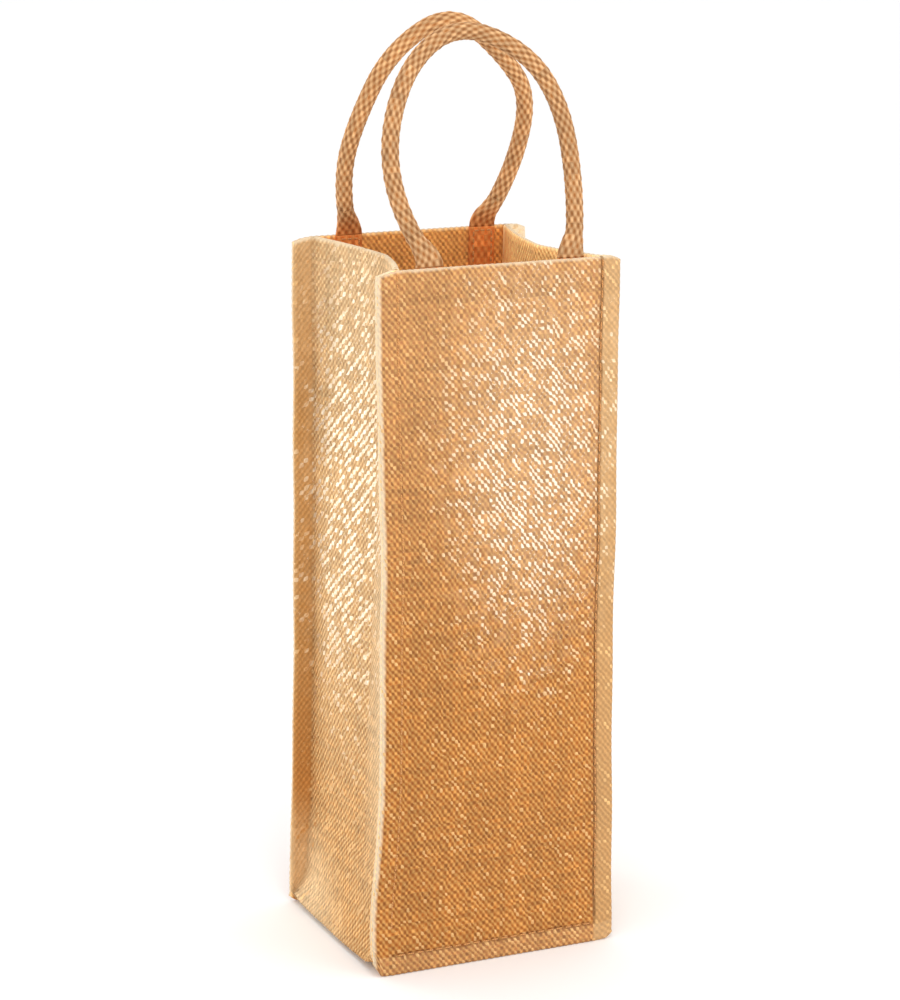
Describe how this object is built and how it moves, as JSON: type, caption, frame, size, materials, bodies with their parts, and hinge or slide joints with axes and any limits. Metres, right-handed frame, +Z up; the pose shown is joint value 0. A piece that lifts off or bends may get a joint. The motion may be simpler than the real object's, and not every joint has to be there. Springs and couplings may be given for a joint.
{
  "type": "wine gift bag",
  "caption": "Tall jute gift bag for one wine bottle, with outward sewn seams, folded sides, a film lining and padded rope handles.",
  "frame": {"origin": "middle of the bag at the level of the edges it stands on", "axes": "+Z up, -Y out of the front panel, +X to the right of someone who faces the front panel"},
  "size_m": [0.132, 0.119, 0.4624],
  "materials": {
    "jute_cloth": "plain-weave jute with a fine metallic gold yarn, shimmering",
    "lining_film": "thin clear film bonded to the cloth, satin",
    "rope_cover": "close diagonal weave over a round rope, matt",
    "rope_core": "twisted undyed fibre",
    "seam_thread": "sewing thread to match the cloth"
  },
  "bodies": {
    "bag": {"front_panel": "jute_cloth", "back_panel": "jute_cloth", "gusset_strip": "jute_cloth", "front_film": "lining_film", "back_film": "lining_film", "gusset_film": "lining_film", "front_left_seam_thread": "seam_thread", "front_right_seam_thread": "seam_thread", "front_foot_seam_thread": "seam_thread", "back_left_seam_thread": "seam_thread", "back_right_seam_thread": "seam_thread", "back_foot_seam_thread": "seam_thread", "front_handle_left_tab": "rope_cover", "front_handle_left_neck": "rope_cover", "front_handle_left_stitches": "seam_thread", "front_handle_right_tab": "rope_cover", "front_handle_right_neck": "rope_cover", "front_handle_right_stitches": "seam_thread", "back_handle_left_tab": "rope_cover", "back_handle_left_neck": "rope_cover", "back_handle_left_stitches": "seam_thread", "back_handle_right_tab": "rope_cover", "back_handle_right_neck": "rope_cover", "back_handle_right_stitches": "seam_thread"},
    "front_handle": {"front_handle_cover": "rope_cover", "front_handle_core": "rope_core"},
    "back_handle": {"back_handle_cover": "rope_cover", "back_handle_core": "rope_core"}
  },
  "joints": [
    {"name": "front_handle_swing", "type": "hinge", "parent": "bag", "child": "front_handle", "pos_m": [0, -0.0498, 0.358], "axis": [1, 0, 0], "range_deg": [-7.5, 139], "deforming": ["front_handle_left_neck", "front_handle_right_neck"]},
    {"name": "back_handle_swing", "type": "hinge", "parent": "bag", "child": "back_handle", "pos_m": [0, 0.0498, 0.358], "axis": [-1, 0, 0], "range_deg": [-4.5, 141], "deforming": ["back_handle_left_neck", "back_handle_right_neck"]}
  ]
}
